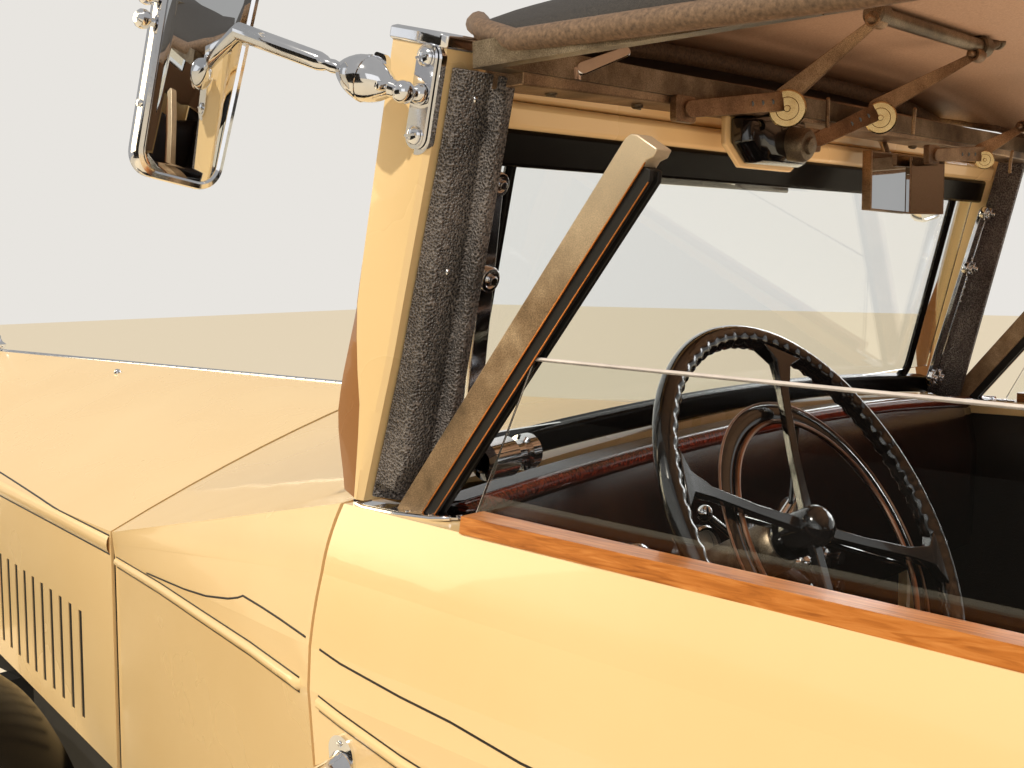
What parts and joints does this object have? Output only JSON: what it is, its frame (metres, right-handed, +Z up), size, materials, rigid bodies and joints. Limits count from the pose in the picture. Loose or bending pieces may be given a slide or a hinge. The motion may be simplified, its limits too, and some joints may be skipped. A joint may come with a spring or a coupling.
{
  "type": "open touring car with raised hood",
  "caption": "Large open touring car with a raised cloth hood, a long louvred bonnet, sweeping black wings, rear-hinged front doors, a raked windscreen and disc wheels.",
  "frame": {"origin": "on the ground below the middle of the car's overall box", "axes": "+X forward, +Y to the car's left, +Z up"},
  "size_m": [5.36, 1.81, 1.7419],
  "materials": {
    "cream_paint": "gloss",
    "black_paint": "gloss",
    "chassis_paint": "satin",
    "bright_metal": "polished",
    "worn_metal": "worn",
    "varnished_wood": "varnished",
    "dark_wood": "polished",
    "clear_glass": "clear",
    "hood_cloth": "grained",
    "seal_rubber": "crinkled",
    "seat_leather": "satin",
    "black_plastic": "gloss",
    "tyre_rubber": "matt",
    "floor_wood": "matt"
  },
  "bodies": {
    "car_body": {"scuttle": "cream_paint", "centre_posts": "cream_paint", "rear_tub": "cream_paint", "windscreen_frame": "cream_paint", "front_wings": "black_paint", "rear_wings": "black_paint", "running_boards": "black_paint", "spare_wheel": "black_paint", "chassis_frame": "chassis_paint", "engine_block": "chassis_paint", "front_axle": "chassis_paint", "rear_axle": "chassis_paint", "leaf_springs": "chassis_paint", "fuel_tank": "chassis_paint", "exhaust": "chassis_paint", "bonnet_hinge": "bright_metal", "radiator_shell": "bright_metal", "headlamps": "bright_metal", "tail_lamps": "bright_metal", "front_bumper": "bright_metal", "rear_bumper": "bright_metal", "mirrors": "bright_metal", "hood_frame": "worn_metal", "radiator_grille": "worn_metal", "dashboard": "dark_wood", "windscreen_glass": "clear_glass", "hood": "hood_cloth", "weather_strips": "seal_rubber", "front_seats": "seat_leather", "rear_seat": "seat_leather", "steering_column": "black_plastic", "spare_tyre": "tyre_rubber", "floor": "floor_wood"},
    "wheel_front_left_body": {"wheel_front_left": "black_paint", "tyre_front_left": "tyre_rubber"},
    "wheel_front_right_body": {"wheel_front_right": "black_paint", "tyre_front_right": "tyre_rubber"},
    "wheel_rear_left_body": {"wheel_rear_left": "black_paint", "tyre_rear_left": "tyre_rubber"},
    "wheel_rear_right_body": {"wheel_rear_right": "black_paint", "tyre_rear_right": "tyre_rubber"},
    "knuckle_left_body": {"knuckle_left": "chassis_paint"},
    "knuckle_right_body": {"knuckle_right": "chassis_paint"},
    "steering_wheel_body": {"steering_wheel": "black_plastic"},
    "door_front_left_body": {"door_front_left": "cream_paint", "door_cap_front_left": "varnished_wood", "door_glass_left": "clear_glass", "glass_channel_left": "worn_metal"},
    "door_front_right_body": {"door_front_right": "cream_paint", "door_cap_front_right": "varnished_wood", "door_glass_right": "clear_glass", "glass_channel_right": "worn_metal"},
    "door_rear_left_body": {"door_rear_left": "cream_paint", "door_cap_rear_left": "varnished_wood"},
    "door_rear_right_body": {"door_rear_right": "cream_paint", "door_cap_rear_right": "varnished_wood"},
    "bonnet_left_body": {"bonnet_left": "cream_paint"},
    "bonnet_right_body": {"bonnet_right": "cream_paint"}
  },
  "joints": [
    {"name": "steer_left", "type": "hinge", "parent": "car_body", "child": "knuckle_left_body", "pos_m": [2.1, 0.61, 0.37], "axis": [0, 0, 1], "range_deg": [-28, 28]},
    {"name": "steer_right", "type": "hinge", "parent": "car_body", "child": "knuckle_right_body", "pos_m": [2.1, -0.61, 0.37], "axis": [0, 0, 1], "range_deg": [-28, 28]},
    {"name": "steering_wheel_turn", "type": "hinge", "parent": "car_body", "child": "steering_wheel_body", "pos_m": [-0.281, 0.361, 1.182], "axis": [-0.8572, 0, 0.515], "range_deg": [-350, 350]},
    {"name": "spin_front_left", "type": "hinge", "parent": "knuckle_left_body", "child": "wheel_front_left_body", "pos_m": [2.1, 0.735, 0.375], "axis": [0, 1, 0], "continuous": true},
    {"name": "spin_front_right", "type": "hinge", "parent": "knuckle_right_body", "child": "wheel_front_right_body", "pos_m": [2.1, -0.735, 0.375], "axis": [0, 1, 0], "continuous": true},
    {"name": "spin_rear_left", "type": "hinge", "parent": "car_body", "child": "wheel_rear_left_body", "pos_m": [-1.55, 0.735, 0.375], "axis": [0, 1, 0], "continuous": true},
    {"name": "spin_rear_right", "type": "hinge", "parent": "car_body", "child": "wheel_rear_right_body", "pos_m": [-1.55, -0.735, 0.375], "axis": [0, 1, 0], "continuous": true},
    {"name": "door_front_left_swing", "type": "hinge", "parent": "car_body", "child": "door_front_left_body", "pos_m": [-0.894, 0.768, 0.8], "axis": [0, 0, 1], "range_deg": [0, 65]},
    {"name": "door_front_right_swing", "type": "hinge", "parent": "car_body", "child": "door_front_right_body", "pos_m": [-0.894, -0.768, 0.8], "axis": [0, 0, -1], "range_deg": [0, 65]},
    {"name": "door_rear_left_swing", "type": "hinge", "parent": "car_body", "child": "door_rear_left_body", "pos_m": [-0.926, 0.768, 0.8], "axis": [0, 0, -1], "range_deg": [0, 65]},
    {"name": "door_rear_right_swing", "type": "hinge", "parent": "car_body", "child": "door_rear_right_body", "pos_m": [-0.926, -0.768, 0.8], "axis": [0, 0, 1], "range_deg": [0, 65]},
    {"name": "bonnet_left_lift", "type": "hinge", "parent": "car_body", "child": "bonnet_left_body", "pos_m": [1.5, 0, 1.217], "axis": [1, 0, 0], "range_deg": [0, 50]},
    {"name": "bonnet_right_lift", "type": "hinge", "parent": "car_body", "child": "bonnet_right_body", "pos_m": [1.5, 0, 1.217], "axis": [-1, 0, 0], "range_deg": [0, 50]}
  ],
  "couplings": [
    {"joint": "steer_right", "follows": "steer_left", "ratio": 1},
    {"joint": "steering_wheel_turn", "follows": "steer_left", "ratio": 12}
  ]
}
